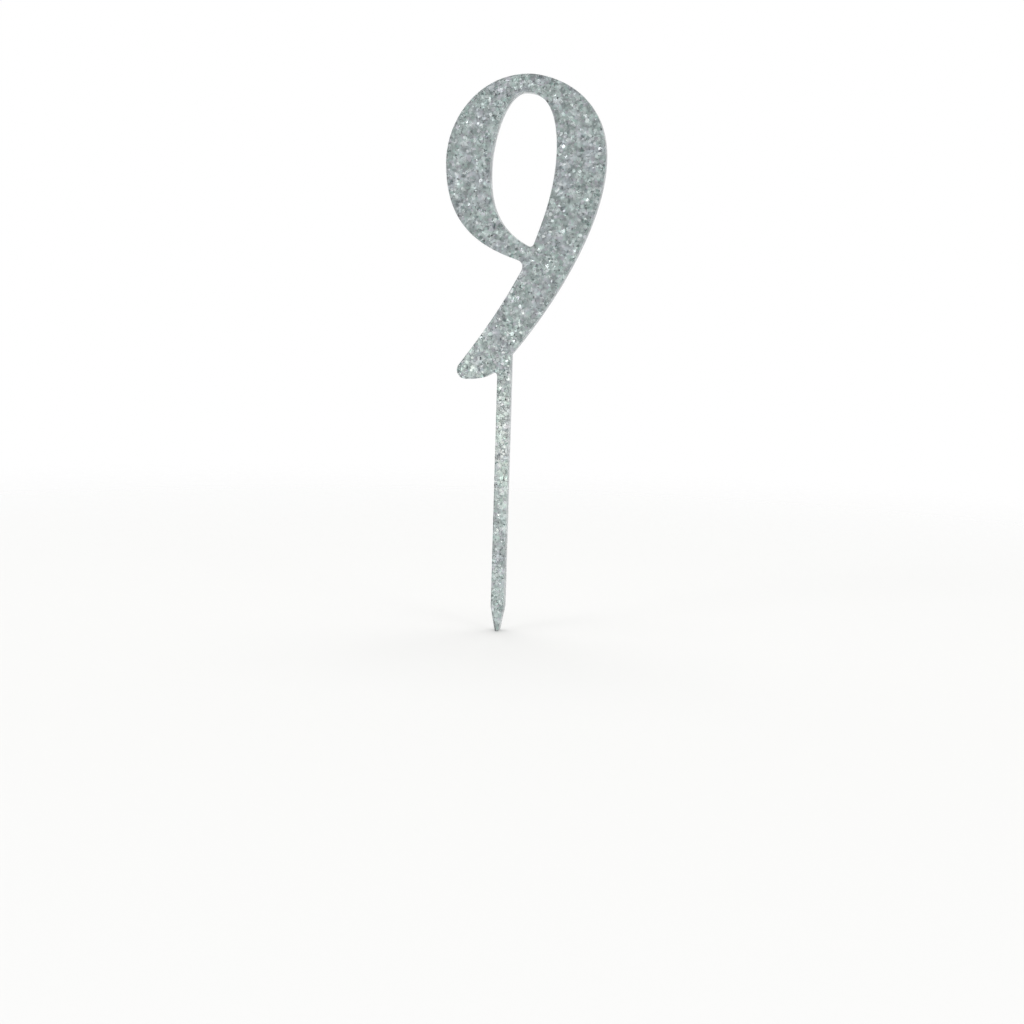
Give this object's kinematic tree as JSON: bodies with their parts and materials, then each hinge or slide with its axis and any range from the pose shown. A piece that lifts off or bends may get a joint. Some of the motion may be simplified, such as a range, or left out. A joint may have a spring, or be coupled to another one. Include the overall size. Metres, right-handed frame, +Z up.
{
  "type": "number cake topper",
  "caption": "Flat number 9 on a thin pointed stake, cut from laminated silver glitter acrylic sheet, pushed into a cake to mark a birthday.",
  "frame": {"origin": "the middle of the stake's tip, in the middle of the sheet's thickness", "axes": "+Z up along the stake to the top of the numeral; the numeral is read from -Y with +X on the reader's right; Y is across the sheet's thickness"},
  "size_m": [0.0374, 0.003, 0.13],
  "materials": {
    "clear_acrylic": "clear cast acrylic, polished face, glossy cut edge",
    "silver_glitter": "clear resin packed with small silver hexagonal flakes",
    "back_coat": "opaque silver-grey coat, satin"
  },
  "bodies": {
    "root": {"clear_face_sheet": "clear_acrylic", "glitter_layer": "silver_glitter", "backing_sheet": "back_coat"}
  },
  "joints": []
}
